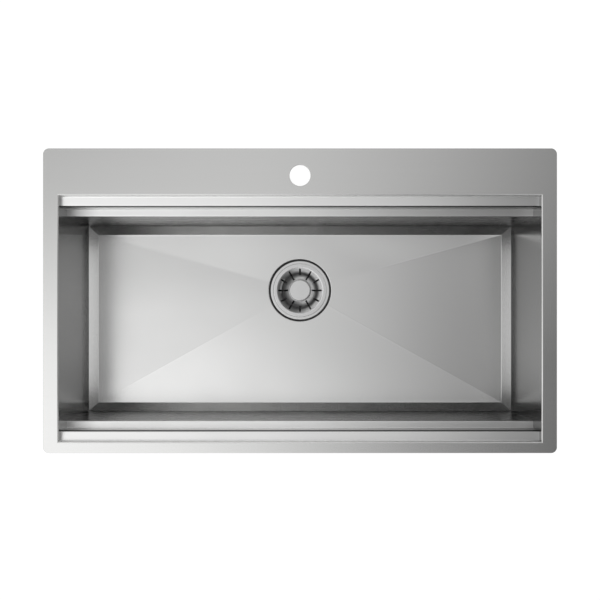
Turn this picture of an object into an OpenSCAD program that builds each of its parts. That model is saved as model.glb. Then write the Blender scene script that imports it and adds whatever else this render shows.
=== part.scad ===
// A single bowl kitchen sink in stainless steel sheet, dropped into a worktop cut-out from above.
// The bowl has two ledges along its front and rear walls, for boards and racks to slide on.
// Millimetres, +X to the right, +Y to the tap side, +Z up. The origin is at the middle of the
// deck outline, on the plane of the worktop.

/* [Deck] */
// Width of the deck, left to right
deck_w = 860; // [760:1:1000]
// Depth of the deck, front to back
deck_d = 510; // [490:1:560]
// Corner radius of the deck
deck_corner_r = 10; // [5:1:14]
// Height of the deck top above the worktop
deck_h = 3; // [2.8:0.1:4]
// Thickness of the steel sheet
sheet_t = 1.5; // [1:0.1:1.6]
// Deck left and right of the bowl opening
side_rim = 26; // [25:0.5:40]
// Deck in front of the bowl opening
front_rim = 19; // [18.5:0.5:24]
// Deck behind the bowl opening
rear_rim = 79; // [72:1:90]
// Radius of the deck's outer edge
edge_r = 1; // [0.8:0.1:2]
// Outside radius of the fold from the deck down into the bowl
lip_r = 2.2; // [2:0.1:2.4]
// Diameter of the tap hole
tap_d = 35; // [32:0.5:38]
// Tap hole centre to the rear edge of the deck
tap_inset = 45.5; // [42:0.5:50]

/* [Bowl] */
// Upper ledge below the deck top
upper_ledge_drop = 12; // [8:0.5:20]
// Width of the upper ledge
upper_ledge_w = 16.2; // [12:0.1:20]
// Lower ledge below the deck top
lower_ledge_drop = 50; // [40:1:60]
// Width of the lower ledge
lower_ledge_w = 13.3; // [10:0.1:18]
// Fall of each ledge toward the bowl, so that water runs off
ledge_fall = 1; // [0:0.1:1.5]
// Inside radius of the folds along the ledges
bend_r = 1; // [0.6:0.1:1.5]
// Deck top to the foot of the walls
wall_depth = 200; // [170:1:230]
// Width and height of the slanted foot between wall and floor
foot_chamfer = 15; // [8:0.5:25]
// Fall of the creased floor from its edge to the drain
floor_fall = 6; // [3:0.5:10]
// Drain centre behind the middle of the bowl
drain_offset = 55; // [30:1:75]

/* [Drain recess] */
// Diameter of the round recess pressed into the floor
recess_d = 120; // [118:0.5:126]
// Depth of the recess below the lowest point of the floor
recess_depth = 4; // [3.5:0.1:6]
// Diameter of the drain hole
drain_hole_d = 90; // [89.4:0.2:92]

/* [Strainer body] */
// Diameter of the flange
flange_d = 114; // [112:0.5:116]
// Height of the flange rim
flange_h = 2; // [1.8:0.1:2.5]
// Thickness of the pressed strainer sheet
body_t = 1; // [0.8:0.1:1.2]
// Inside diameter of the strainer cup
cup_d = 86; // [85:0.2:86.6]
// Radius of the edge where the basket's seat turns down into the cup
seat_edge_r = 2.4; // [1.5:0.1:2.4]
// Depth of the straight part of the cup
cup_h = 30; // [26:1:40]
// Height of the cone under the cup
cone_h = 12; // [10:0.5:16]
// Inside diameter of the outlet spigot
outlet_d = 38; // [36:0.5:40]
// Wall of the outlet spigot
outlet_wall = 3.2; // [2.4:0.1:4]
// Length of the outlet spigot
outlet_h = 26; // [24:1:34]

/* [Strainer basket] */
// Diameter of the basket rim
basket_d = 102.4; // [100:0.2:102.4]
// Thickness of the basket sheet
basket_t = 0.8; // [0.6:0.1:0.9]
// Edge of the round trough inside the rounded edge of its seat
trough_inset = 0.6; // [0.6:0.1:3]
// Diameter of the raised middle of the basket
hub_d = 41; // [40:0.5:44]
// Depth of the trough
trough_h = 14; // [8:0.5:16]
// Slots round the basket
slot_count = 12; // [6:1:16]
// Width of each slot
slot_w = 3.2; // [1.5:0.1:3.5]
// Diameter of the lifting knob
knob_d = 39.4; // [34:0.2:40]
// Thickness of the knob
knob_t = 2; // [1.5:0.1:3]
// Height of the neck under the knob
knob_neck_h = 2.2; // [1.5:0.1:4]
// Diameter of the stem
stem_d = 8; // [6:0.5:9]

/* [Tailpiece] */
// Outside diameter of the tailpiece
tail_d = 38; // [36:0.5:40]
// Wall of the tailpiece
tail_wall = 1.5; // [1:0.1:2]
// Length of the tailpiece
tail_h = 100; // [60:1:150]

/* [Clips] */
// Deck overlap on the worktop round the cut-out
cutout_margin = 10; // [8:0.5:10.5]
// Thickest worktop that the clips take
worktop_t = 42; // [38:1:50]
// Travel of the clips
clip_travel = 13; // [8:0.5:13]
// Clips left and right of the middle on the long sides
clip_x = 215; // [120:1:300]
// Clips in front of and behind the middle on the short sides
clip_y = 130; // [80:1:160]
// Diameter of the clip screws
clip_screw_d = 4; // [3:0.5:4.5]
// Reach of each claw from its screw
claw_reach = 32; // [24:1:40]

/* [Sound pads] */
// Thickness of the rubber pads
pad_t = 2; // [1:0.1:3]
// Height of the pads on the walls
pad_h = 110; // [60:1:120]
// Width of the pads on the long walls
long_pad_w = 560; // [300:1:640]
// Width of the pads on the end walls
end_pad_w = 240; // [120:1:280]
// Length of each pad under the floor
floor_pad_w = 250; // [120:1:270]
// Depth of each pad under the floor
floor_pad_d = 220; // [120:1:260]

/* [Hidden] */
$fn = 96;
// Gap between pieces that turn or slide in one another
running_gap = 0.06;
// Gap between pieces that only pass each other
free_gap = 0.3;
bend_steps = 4;
arc_steps = 5;
overcut = 1;

clip_count = 8;
clip_numbers = [for (i = [1:clip_count]) i];

// Levels and places that follow from the sizes above
under_deck_z = deck_h - sheet_t;
lip_z = deck_h - lip_r;
opening_w = deck_w - 2 * side_rim;
opening_d = deck_d - front_rim - rear_rim;
bowl_y = (front_rim - rear_rim) / 2;
half_w = opening_w / 2;
half_open = opening_d / 2;
half_upper = half_open - upper_ledge_w;
half_wall = half_upper - lower_ledge_w;
upper_ledge_z = deck_h - upper_ledge_drop;
lower_ledge_z = deck_h - lower_ledge_drop;
foot_z = deck_h - wall_depth;
floor_z = foot_z - foot_chamfer;
drain_y = bowl_y + drain_offset;
drain_z = floor_z - floor_fall;
recess_z = drain_z - recess_depth;
tap_y = deck_d / 2 - tap_inset;

// Folded sheet: a path of corners, with round bends, and the sheet on one side of it
function direction(a, b) = (b - a) / norm(b - a);
function left_of(v) = [-v[1], v[0]];
function turned(v, angle) = [
    v[0] * cos(angle) - v[1] * sin(angle),
    v[0] * sin(angle) + v[1] * cos(angle)
];
function turn_at(path, i) =
    let (u = direction(path[i - 1], path[i]), v = direction(path[i], path[i + 1]))
    atan2(cross(u, v), u * v);
// Radius of a bend on the path: the inside radius, with the sheet added where the bend wraps round it
function path_radius(turn, side, r, t) = r + (sign(turn) == side ? t : 0);
function bend_arc(path, i, r_path, r_drawn) =
    let (
        u = direction(path[i - 1], path[i]),
        turn = turn_at(path, i),
        back = r_path * tan(abs(turn) / 2),
        centre = path[i] - back * u + sign(turn) * r_path * left_of(u)
    )
    [for (k = [0:bend_steps]) centre - sign(turn) * r_drawn * turned(left_of(u), turn * k / bend_steps)];
function near_face(path, side, r, t) = [
    path[0],
    for (i = [1:len(path) - 2])
        let (rp = path_radius(turn_at(path, i), side, r, t))
        each bend_arc(path, i, rp, rp),
    path[len(path) - 1]
];
function far_face(path, side, r, t) =
    let (last = len(path) - 1)
    [
        path[0] + side * t * left_of(direction(path[0], path[1])),
        for (i = [1:last - 1])
            let (rp = path_radius(turn_at(path, i), side, r, t))
            each bend_arc(path, i, rp, 2 * r + t - rp),
        path[last] + side * t * left_of(direction(path[last - 1], path[last]))
    ];
function reversed(list) = [for (i = [len(list) - 1:-1:0]) list[i]];
function folded_outline(path, side, r, t) = concat(near_face(path, side, r, t), reversed(far_face(path, side, r, t)));

// Steps of a long wall, from the deck down to the foot: distance from the middle of the bowl, and height
wall_path = [
    [half_open, lip_z],
    [half_open, upper_ledge_z],
    [half_upper, upper_ledge_z - ledge_fall],
    [half_upper, lower_ledge_z],
    [half_wall, lower_ledge_z - ledge_fall],
    [half_wall, foot_z]
];

// Points on an arc about a centre, from one angle to another
function arc_points(x, z, r, from, to) = [
    for (k = [0:arc_steps])
        let (angle = from + (to - from) * k / arc_steps)
        [x + r * cos(angle), z + r * sin(angle)]
];

module rounded_rectangle(w, d, r) {
    square([w - 2 * r, d], center = true);
    square([w, d - 2 * r], center = true);
    for (x = [-1, 1], y = [-1, 1])
        translate([x * (w / 2 - r), y * (d / 2 - r)])
            circle(r);
}

// A ring between two radii, from one height to another
module ring(r_in, r_out, z_low, z_high) {
    translate([0, 0, z_low])
        difference() {
            cylinder(r = r_out, h = z_high - z_low);
            translate([0, 0, -overcut])
                cylinder(r = r_in, h = z_high - z_low + 2 * overcut);
        }
}

module at_drain() {
    translate([0, drain_y, 0])
        children();
}

module quarter_round(r) {
    intersection() {
        circle(r = r);
        square(r);
    }
}

// A plate whose upper edge is rounded over all the way round
module eased_plate(w, d, r, h, edge) {
    x = w / 2 - r;
    y = d / 2 - r;
    linear_extrude(h - edge)
        rounded_rectangle(w, d, r);
    linear_extrude(h)
        rounded_rectangle(w - 2 * edge, d - 2 * edge, r - edge);
    for (corner = [[x, y, 0], [-x, y, 90], [-x, -y, 180], [x, -y, 270]])
        translate([corner[0], corner[1], h - edge])
            rotate(corner[2])
                rotate_extrude(angle = 90)
                    translate([r - edge, 0])
                        quarter_round(edge);
    for (side = [[x + r, y, 0], [y + r, x, 90], [x + r, y, 180], [y + r, x, 270]])
        rotate(side[2])
            translate([side[0] - edge, side[1], h - edge])
                rotate([90, 0, 0])
                    linear_extrude(2 * side[1])
                        quarter_round(edge);
}

// Section of the bowl opening at the height of the fold, its sides bulging in by a quarter circle
function fold_section(half, r, above) =
    let (right = arc_points(half + lip_r, lip_z, r, 180, 90), top = lip_z + r + above)
    concat(
        right,
        [[half + lip_r, top], [-half - lip_r, top]],
        [for (p = reversed(right)) [-p[0], p[1]]]
    );

// Room inside the fold, with mitred corners: what two such sections have in common
module inside_fold(r, above) {
    translate([0, bowl_y, 0])
        intersection() {
            rotate([90, 0, 0])
                linear_extrude(2 * (half_open + lip_r), center = true)
                    polygon(fold_section(half_w, r, above));
            rotate([90, 0, 90])
                linear_extrude(2 * (half_w + lip_r), center = true)
                    polygon(fold_section(half_open, r, above));
        }
}

module deck_plate() {
    color("silver")
        difference() {
            union() {
                difference() {
                    eased_plate(deck_w, deck_d, deck_corner_r, deck_h, edge_r);
                    translate([0, 0, -overcut])
                        linear_extrude(under_deck_z + overcut)
                            rounded_rectangle(deck_w - 2 * sheet_t, deck_d - 2 * sheet_t, deck_corner_r - sheet_t);
                }
                inside_fold(lip_r - sheet_t, sheet_t / 2);
            }
            inside_fold(lip_r, overcut);
            translate([0, tap_y, -overcut])
                cylinder(d = tap_d, h = deck_h + 2 * overcut);
        }
}

// Long walls, folded from one strip each and butted between the end walls
module long_wall() {
    translate([-half_w, bowl_y, 0])
        rotate([90, 0, 90])
            linear_extrude(opening_w)
                polygon(folded_outline(wall_path, 1, bend_r, sheet_t));
}

module rear_wall() {
    color("silver")
        long_wall();
}

module front_wall() {
    color("silver")
        translate([0, 2 * bowl_y, 0])
            mirror([0, 1, 0])
                long_wall();
}

// End walls, cut to the stepped outline of the long walls
module end_wall() {
    rear_edge = far_face(wall_path, 1, bend_r, sheet_t);
    front_edge = [for (p = reversed(rear_edge)) [-p[0], p[1]]];
    translate([half_w, bowl_y, 0])
        rotate([90, 0, 90])
            linear_extrude(sheet_t)
                polygon(concat(rear_edge, front_edge));
}

module right_end_wall() {
    color("silver")
        end_wall();
}

module left_end_wall() {
    color("silver")
        mirror([1, 0, 0])
            end_wall();
}

// Four corners of a level rectangle round the middle of the bowl
function corners(x, y, z) = [
    [-x, bowl_y - y, z],
    [x, bowl_y - y, z],
    [x, bowl_y + y, z],
    [-x, bowl_y + y, z]
];
function band(from, to) = [for (i = [0:3]) [from + i, from + (i + 1) % 4, to + (i + 1) % 4, to + i]];
function fan(from, tip) = [for (i = [0:3]) [from + i, from + (i + 1) % 4, tip]];
function flipped(faces) = [for (f = faces) reversed(f)];

// Everything under the creased floor, from a drop below its face down to a level
module under_floor(x, y, drop, bottom) {
    points = concat(
        corners(x, y, floor_z - drop),
        [[0, drain_y, drain_z - drop]],
        corners(x, y, bottom)
    );
    faces = concat(flipped(fan(0, 4)), band(0, 5), [[5, 6, 7, 8]]);
    polyhedron(points, faces);
}

// The floor with its slanted foot, four facets creased from the corners to the drain
foot_x = half_w - foot_chamfer;
foot_y = half_wall - foot_chamfer;
bend_shift = sheet_t * (sqrt(2) - 1);
module creased_tray() {
    points = concat(
        corners(half_w, half_wall, foot_z),
        corners(foot_x, foot_y, floor_z),
        [[0, drain_y, drain_z]],
        corners(half_w + sheet_t, half_wall + sheet_t, foot_z),
        corners(half_w + sheet_t, half_wall + sheet_t, foot_z - bend_shift),
        corners(foot_x + bend_shift, foot_y + bend_shift, floor_z - sheet_t),
        [[0, drain_y, drain_z - sheet_t]]
    );
    inside = concat(band(0, 4), fan(4, 8));
    outside = concat(band(9, 13), band(13, 17), fan(17, 21));
    polyhedron(points, concat(flipped(inside), outside, flipped(band(9, 0))));
}

module floor_pan() {
    recess_r = recess_d / 2;
    color("silver")
        difference() {
            union() {
                creased_tray();
                intersection() {
                    under_floor(foot_x, foot_y, 0, recess_z - 2 * sheet_t);
                    at_drain()
                        translate([0, 0, recess_z - sheet_t])
                            cylinder(r = recess_r + sheet_t, h = floor_z - recess_z);
                }
            }
            at_drain() {
                translate([0, 0, recess_z])
                    cylinder(r = recess_r, h = foot_z - recess_z);
                translate([0, 0, recess_z - 2 * sheet_t])
                    cylinder(d = drain_hole_d, h = foot_z - recess_z);
            }
        }
}

// Foam strip under the deck edge
gasket_inset = 2.5;
gasket_w = 6;
module deck_gasket() {
    inner = gasket_inset + gasket_w;
    color("dimgray")
        linear_extrude(under_deck_z)
            difference() {
                rounded_rectangle(deck_w - 2 * gasket_inset, deck_d - 2 * gasket_inset, deck_corner_r - gasket_inset);
                square([deck_w - 2 * inner, deck_d - 2 * inner], center = true);
            }
}

// Plate welded under the deck round the tap hole
stiffener_w = 110;
stiffener_t = 2;
stiffener_gap = 1;
stiffener_d = 2 * min(
    rear_rim - tap_inset - lip_r - stiffener_gap,
    tap_inset - gasket_inset - gasket_w - stiffener_gap
);
module tap_hole_stiffener() {
    color("gray")
        translate([0, tap_y, under_deck_z - stiffener_t])
            difference() {
                linear_extrude(stiffener_t)
                    rounded_rectangle(stiffener_w, stiffener_d, 4);
                translate([0, 0, -overcut])
                    cylinder(d = tap_d + 1, h = stiffener_t + 2 * overcut);
            }
}

// Sound pads stuck to the outside of the bowl
pad_gap = 12;
pad_corner_r = 8;
pad_z = lower_ledge_z - sheet_t - pad_gap - pad_h / 2;
module wall_pad(w) {
    linear_extrude(pad_t)
        rounded_rectangle(w, pad_h, pad_corner_r);
}

module rear_sound_pad() {
    color("darkslategray")
        translate([0, bowl_y + half_wall + sheet_t + pad_t, pad_z])
            rotate([90, 0, 0])
                wall_pad(long_pad_w);
}

module front_sound_pad() {
    color("darkslategray")
        translate([0, bowl_y - half_wall - sheet_t, pad_z])
            rotate([90, 0, 0])
                wall_pad(long_pad_w);
}

module right_sound_pad() {
    color("darkslategray")
        translate([half_w + sheet_t, bowl_y, pad_z])
            rotate([90, 0, 90])
                wall_pad(end_pad_w);
}

module left_sound_pad() {
    color("darkslategray")
        translate([-half_w - sheet_t - pad_t, bowl_y, pad_z])
            rotate([90, 0, 90])
                wall_pad(end_pad_w);
}

module floor_pad() {
    x = foot_x + bend_shift;
    y = foot_y + bend_shift;
    pad_x = recess_d / 2 + sheet_t + pad_gap + floor_pad_w / 2;
    low = recess_z - 2 * pad_t;
    color("darkslategray")
        intersection() {
            difference() {
                under_floor(x, y, sheet_t, low);
                under_floor(x, y, sheet_t + pad_t, low - overcut);
            }
            translate([pad_x, bowl_y, low])
                linear_extrude(floor_z - low)
                    rounded_rectangle(floor_pad_w, floor_pad_d, pad_corner_r);
        }
}

module right_floor_pad() {
    floor_pad();
}

module left_floor_pad() {
    mirror([1, 0, 0])
        floor_pad();
}

// Strainer body: a flange, a cup and a cone pressed from one sheet
flange_z = recess_z + 1;
seat_z = flange_z + flange_h / 2;
rim_z = flange_z + flange_h;
cup_r = cup_d / 2;
cup_wall = 1.2;
cup_z = seat_z - cup_h;
cone_z = cup_z - cone_h;
outlet_r = outlet_d / 2;
cone_slope = cone_h / (cup_r - outlet_r);
spigot_r = outlet_r + outlet_wall;
spigot_z = cone_z - cup_wall;
outlet_z = cone_z - outlet_h;
seat_r = basket_d / 2 + free_gap;

module strainer_body() {
    flange_r = flange_d / 2;
    color("silver")
        at_drain()
            rotate_extrude()
                polygon(concat(
                    [[flange_r, flange_z]],
                    arc_points(flange_r - body_t, rim_z - body_t, body_t, 0, 90),
                    [
                        [seat_r, rim_z],
                        [seat_r, seat_z],
                        each arc_points(cup_r + seat_edge_r, seat_z - seat_edge_r, seat_edge_r, 90, 180),
                        [cup_r, cup_z],
                        [outlet_r, cone_z],
                        [outlet_r, spigot_z],
                        [spigot_r, spigot_z],
                        [spigot_r, spigot_z + outlet_wall * cone_slope],
                        [cup_r + cup_wall, cup_z - cup_wall * (1 - cone_slope)],
                        [cup_r + cup_wall, flange_z],
                        [seat_r + body_t, flange_z],
                        [seat_r + body_t, rim_z - body_t],
                        [flange_r - body_t, rim_z - body_t],
                        [flange_r - body_t, flange_z]
                    ]
                ));
}

// Spigot brazed under the cone, with a cross in it that guides the stem
guide_h = 10;
guide_r = stem_d / 2 + 3;
guide_bar_w = 2.6;
guide_bar_h = 6;
module outlet_spigot() {
    color("silver")
        at_drain()
            difference() {
                union() {
                    ring(outlet_r, spigot_r, outlet_z, spigot_z);
                    translate([0, 0, cone_z - guide_h]) {
                        cylinder(r = guide_r, h = guide_h);
                        for (angle = [0, 90])
                            rotate(angle)
                                translate([-outlet_r - outlet_wall / 2, -guide_bar_w / 2, 0])
                                    cube([outlet_d + outlet_wall, guide_bar_w, guide_bar_h]);
                    }
                }
                translate([0, 0, cone_z - guide_h - overcut])
                    cylinder(r = stem_d / 2 + running_gap, h = guide_h + 2 * overcut);
            }
}

module flange_gasket() {
    color("dimgray")
        at_drain()
            ring(drain_hole_d / 2 + 1, recess_d / 2 - free_gap, recess_z, flange_z);
}

// Clamping stack under the floor: rubber ring, fibre ring and a nut on the cup's thread
clamp_in_r = cup_r + cup_wall + 0.1;
clamp_out_r = recess_d / 2 - 5;
rubber_t = 3;
fibre_t = 1;
nut_h = 9;
nut_r = clamp_out_r - 3;
nut_lugs = 6;
under_recess_z = recess_z - sheet_t;
fibre_z = under_recess_z - rubber_t - fibre_t;

module clamp_rubber_ring() {
    color("dimgray")
        at_drain()
            ring(clamp_in_r, clamp_out_r, under_recess_z - rubber_t, under_recess_z);
}

module clamp_fibre_ring() {
    color("tan")
        at_drain()
            ring(clamp_in_r, clamp_out_r, fibre_z, fibre_z + fibre_t);
}

module clamp_nut() {
    color("lightgray")
        at_drain()
            difference() {
                translate([0, 0, fibre_z - nut_h])
                    union() {
                        cylinder(r = nut_r, h = nut_h);
                        for (i = [0:nut_lugs - 1])
                            rotate(i * 360 / nut_lugs)
                                translate([nut_r - 1, -4, 0])
                                    cube([4, 8, nut_h]);
                    }
                translate([0, 0, fibre_z - nut_h - overcut])
                    cylinder(r = clamp_in_r, h = nut_h + 2 * overcut);
            }
}

// Tailpiece, hung on the spigot by its coupling nut
tail_r = tail_d / 2;
tail_flange_r = spigot_r;
tail_flange_t = 2;
washer_t = 2;
tail_top_z = outlet_z - washer_t;
tail_bead_r = 0.9;
tail_bead_drop = 6;
coupling_t = 2.4;
coupling_lap = 12;
coupling_r = spigot_r + 3;
grip_ribs = 16;

module tailpiece_washer() {
    color("dimgray")
        at_drain()
            ring(tail_r - tail_wall, tail_flange_r, tail_top_z, outlet_z);
}

module tailpiece() {
    color("silver")
        at_drain() {
            difference() {
                union() {
                    translate([0, 0, tail_top_z - tail_flange_t])
                        cylinder(r = tail_flange_r, h = tail_flange_t);
                    translate([0, 0, tail_top_z - tail_h])
                        cylinder(r = tail_r, h = tail_h);
                    translate([0, 0, tail_top_z - tail_flange_t - tail_bead_drop])
                        rotate_extrude()
                            translate([tail_r, 0])
                                circle(r = tail_bead_r);
                }
                translate([0, 0, tail_top_z - tail_h - overcut])
                    cylinder(r = tail_r - tail_wall, h = tail_h + 2 * overcut);
            }
        }
}

module coupling_nut() {
    low = tail_top_z - tail_flange_t - coupling_t;
    high = outlet_z + coupling_lap;
    color("lightgray")
        at_drain()
            difference() {
                union() {
                    translate([0, 0, low])
                        cylinder(r = coupling_r, h = high - low);
                    for (i = [0:grip_ribs - 1])
                        rotate(i * 360 / grip_ribs)
                            translate([coupling_r - 1, -1, low])
                                cube([2.2, 2, high - low]);
                }
                translate([0, 0, low + coupling_t])
                    cylinder(r = spigot_r + 0.1, h = high - low);
                translate([0, 0, low - overcut])
                    cylinder(r = tail_r + 0.2, h = high - low);
            }
}

// Basket: a flat rim, a round trough with long and short slots by turns, and a raised middle
basket_r = basket_d / 2;
trough_r = cup_r + seat_edge_r - trough_inset;
hub_r = hub_d / 2;
stem_r = stem_d / 2;
basket_top_z = seat_z + basket_t;
trough_steps = 22;
trough_w = trough_r - hub_r;
outer_flank_w = 0.46 * trough_w;
inner_flank_w = 0.5 * trough_w;
long_slot_r = hub_r + 2;
short_slot_r = hub_r + 0.39 * trough_w;
slot_outer_r = cup_r - 0.5;
// Smooth step from 0 to 1, and the trough's section: one step down on the outer flank, one up on the inner flank
function smooth_step(t) = let (u = min(max(t, 0), 1)) u * u * (3 - 2 * u);
function step_slope(t) = t > 0 && t < 1 ? 6 * t * (1 - t) : 0;
function trough_depth(r) = trough_h * (
    smooth_step((trough_r - r) / outer_flank_w) - smooth_step((hub_r + inner_flank_w - r) / inner_flank_w)
);
function trough_slope(r) = trough_h * (
    step_slope((trough_r - r) / outer_flank_w) / outer_flank_w
    + step_slope((hub_r + inner_flank_w - r) / inner_flank_w) / inner_flank_w
);
// Height from face to underside, which grows with the slope so that the sheet keeps its thickness
function basket_drop(r) = basket_t * sqrt(1 + pow(trough_slope(r), 2));
trough_points = [
    for (k = [0:trough_steps])
        let (r = trough_r - (trough_r - hub_r) * k / trough_steps)
        [r, basket_top_z - trough_depth(r)]
];

module strainer_basket() {
    top_face = concat([[basket_r, basket_top_z]], trough_points, [[stem_r + free_gap, basket_top_z]]);
    under_face = [for (p = reversed(top_face)) [p[0], p[1] - basket_drop(p[0])]];
    color("silver")
        at_drain()
            difference() {
                rotate_extrude()
                    polygon(concat(top_face, under_face));
                for (i = [0:slot_count - 1])
                    let (inner_r = i % 2 == 0 ? long_slot_r : short_slot_r)
                    rotate(i * 360 / slot_count)
                        translate([inner_r, -slot_w / 2, basket_top_z - trough_h - 2 * basket_t])
                            cube([slot_outer_r - inner_r, slot_w, trough_h + 3 * basket_t]);
            }
}

knob_z = basket_top_z + free_gap;
neck_r = 9;
module basket_knob() {
    disc_z = knob_z + knob_neck_h;
    edge = knob_t / 2;
    color("silver")
        at_drain()
            difference() {
                rotate_extrude()
                    polygon(concat(
                        [[0, knob_z], [neck_r, knob_z], [neck_r, disc_z], [knob_d / 2, disc_z]],
                        arc_points(knob_d / 2 - edge, disc_z + knob_t - edge, edge, 0, 90),
                        [[0, disc_z + knob_t]]
                    ));
                translate([0, 0, knob_z - overcut])
                    cylinder(r = stem_r + running_gap, h = knob_neck_h + overcut);
            }
}

// Stopper: a rubber disc whose edge meets the cone of the cup
seal_r = 30;
seal_low_r = 24;
seal_gap = 0.35;
seal_z = cone_z + (seal_low_r - outlet_r) * cone_slope + seal_gap;
seal_edge_h = (seal_r - seal_low_r) * cone_slope;
seal_top_z = seal_z + seal_edge_h + 1;
stopper_washer_t = 0.8;
snap_t = 0.8;
shoulder_r = stem_r + 2;
stem_low_z = cone_z - guide_h - 2;

module basket_stem() {
    shoulder_z = basket_top_z - basket_t - free_gap;
    tip = 0.8;
    color("silver")
        at_drain()
            rotate_extrude()
                polygon([
                    [0, knob_z + knob_neck_h],
                    [stem_r, knob_z + knob_neck_h],
                    [stem_r, shoulder_z],
                    [shoulder_r, shoulder_z],
                    [shoulder_r, seal_top_z],
                    [stem_r, seal_top_z],
                    [stem_r, stem_low_z + tip],
                    [stem_r - tip, stem_low_z],
                    [0, stem_low_z]
                ]);
}

module stopper_seal() {
    color("dimgray")
        at_drain()
            difference() {
                rotate_extrude()
                    polygon([
                        [0, seal_z],
                        [seal_low_r, seal_z],
                        [seal_r, seal_z + seal_edge_h],
                        [seal_r - 1, seal_top_z],
                        [0, seal_top_z]
                    ]);
                translate([0, 0, seal_z - overcut])
                    cylinder(r = stem_r + running_gap, h = seal_top_z - seal_z + 2 * overcut);
            }
}

module stopper_washer() {
    color("silver")
        at_drain()
            ring(stem_r + running_gap, stem_r + 5, seal_z - stopper_washer_t, seal_z);
}

module stem_snap_ring() {
    high = seal_z - stopper_washer_t;
    color("gray")
        at_drain()
            difference() {
                ring(stem_r + running_gap, stem_r + 1.5, high - snap_t, high);
                translate([0, -1, high - snap_t - overcut])
                    cube([stem_r + 3, 2, snap_t + 2 * overcut]);
            }
}

// Clips: a screw in a bracket under the deck draws a claw up against the worktop.
// In a clip's own frame the screw is on Z, +Y points out past the deck edge and +X runs along it.
clip_gap = 0.6;
weld_gap = 0.1;
bracket_w = front_rim - lip_r - cutout_margin - clip_gap - weld_gap;
bracket_t = 1.2;
bracket_half = 12;
bracket_foot = 7;
bracket_z = -15;
clip_inset = cutout_margin + clip_gap + bracket_w / 2;
claw_t = 2;
claw_tip_h = 9;
claw_z = -worktop_t - claw_tip_h - claw_t;
claw_in = 6;
claw_back = 4.5;
claw_teeth = 3;
tooth_h = 1.6;
clip_washer_t = 1;
clip_head_h = 3.6;
clip_head_r = clip_screw_d * 1.05;
clip_screw_r = clip_screw_d / 2;
clip_screw_top = bracket_z + 2;
clip_sides = [
    [1, 1, 0],
    [1, -1, 0],
    [-1, 1, 180],
    [-1, -1, 180]
];
function long_clip(side) = [side[1] * clip_x, side[0] * (deck_d / 2 - clip_inset), side[2]];
function short_clip(side) = [-side[0] * (deck_w / 2 - clip_inset), side[1] * clip_y, side[2] + 90];
clip_places = concat([for (s = clip_sides) long_clip(s)], [for (s = clip_sides) short_clip(s)]);

module at_clip(i) {
    place = clip_places[i - 1];
    translate([place[0], place[1], 0])
        rotate(place[2])
            children();
}

module clip_bracket() {
    path = [
        [-bracket_half - bracket_foot, under_deck_z],
        [-bracket_half, under_deck_z],
        [-bracket_half, bracket_z],
        [bracket_half, bracket_z],
        [bracket_half, under_deck_z],
        [bracket_half + bracket_foot, under_deck_z]
    ];
    difference() {
        translate([0, bracket_w / 2, 0])
            rotate([90, 0, 0])
                linear_extrude(bracket_w)
                    polygon(folded_outline(path, -1, bend_r, bracket_t));
        translate([0, 0, bracket_z - bracket_t - overcut])
            cylinder(r = clip_screw_r + running_gap, h = bracket_t + 2 * overcut);
    }
}

module clip_brackets() {
    color("gray")
        for (i = clip_numbers)
            at_clip(i)
                clip_bracket();
}

module clip_washer(i) {
    color("silver")
        at_clip(i)
            ring(clip_screw_r + running_gap, clip_screw_r + 3, claw_z - clip_washer_t, claw_z);
}

module clip_screw(i) {
    head_z = claw_z - clip_washer_t - clip_head_h;
    slot = 1;
    color("silver")
        at_clip(i)
            difference() {
                union() {
                    translate([0, 0, head_z])
                        cylinder(r = clip_head_r, h = clip_head_h);
                    translate([0, 0, head_z + clip_head_h])
                        cylinder(r = clip_screw_r, h = clip_screw_top - head_z - clip_head_h);
                }
                for (angle = [0, 90])
                    rotate(angle)
                        translate([-clip_head_r / 2, -slot / 2, head_z - overcut])
                            cube([clip_head_r, slot, overcut + clip_head_h / 2]);
            }
}

module clip_claw(i) {
    claw_w = bracket_w / 2 + claw_in;
    side_path = [
        [-claw_back, claw_z],
        [claw_reach, claw_z],
        [claw_reach, -worktop_t]
    ];
    pitch = claw_w / claw_teeth;
    tooth_line = [
        for (k = [0:claw_teeth - 1])
            each [[k * pitch, -worktop_t - tooth_h], [(k + 0.5) * pitch, -worktop_t]]
    ];
    color("lightgray")
        at_clip(i)
            difference() {
                intersection() {
                    translate([0, bracket_w / 2, 0])
                        rotate([90, 0, 0])
                            linear_extrude(claw_w)
                                polygon(folded_outline(side_path, 1, bend_r, claw_t));
                    translate([-claw_back - overcut, -claw_in, 0])
                        rotate([90, 0, 90])
                            linear_extrude(claw_reach + claw_back + 2 * overcut)
                                polygon(concat(
                                    [[0, claw_z - overcut]],
                                    tooth_line,
                                    [[claw_w, -worktop_t - tooth_h], [claw_w, claw_z - overcut]]
                                ));
                }
                translate([0, 0, claw_z - overcut])
                    cylinder(r = clip_screw_r + running_gap, h = claw_t + 2 * overcut);
            }
}

deck_plate();
rear_wall();
front_wall();
left_end_wall();
right_end_wall();
floor_pan();
tap_hole_stiffener();
deck_gasket();
clip_brackets();
rear_sound_pad();
front_sound_pad();
left_sound_pad();
right_sound_pad();
left_floor_pad();
right_floor_pad();
strainer_body();
outlet_spigot();
flange_gasket();
clamp_rubber_ring();
clamp_fibre_ring();
clamp_nut();
tailpiece_washer();
tailpiece();
coupling_nut();
strainer_basket();
basket_knob();
basket_stem();
stopper_seal();
stopper_washer();
stem_snap_ring();
for (i = clip_numbers) clip_washer(i);
for (i = clip_numbers) clip_screw(i);
for (i = clip_numbers) clip_claw(i);
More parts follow.
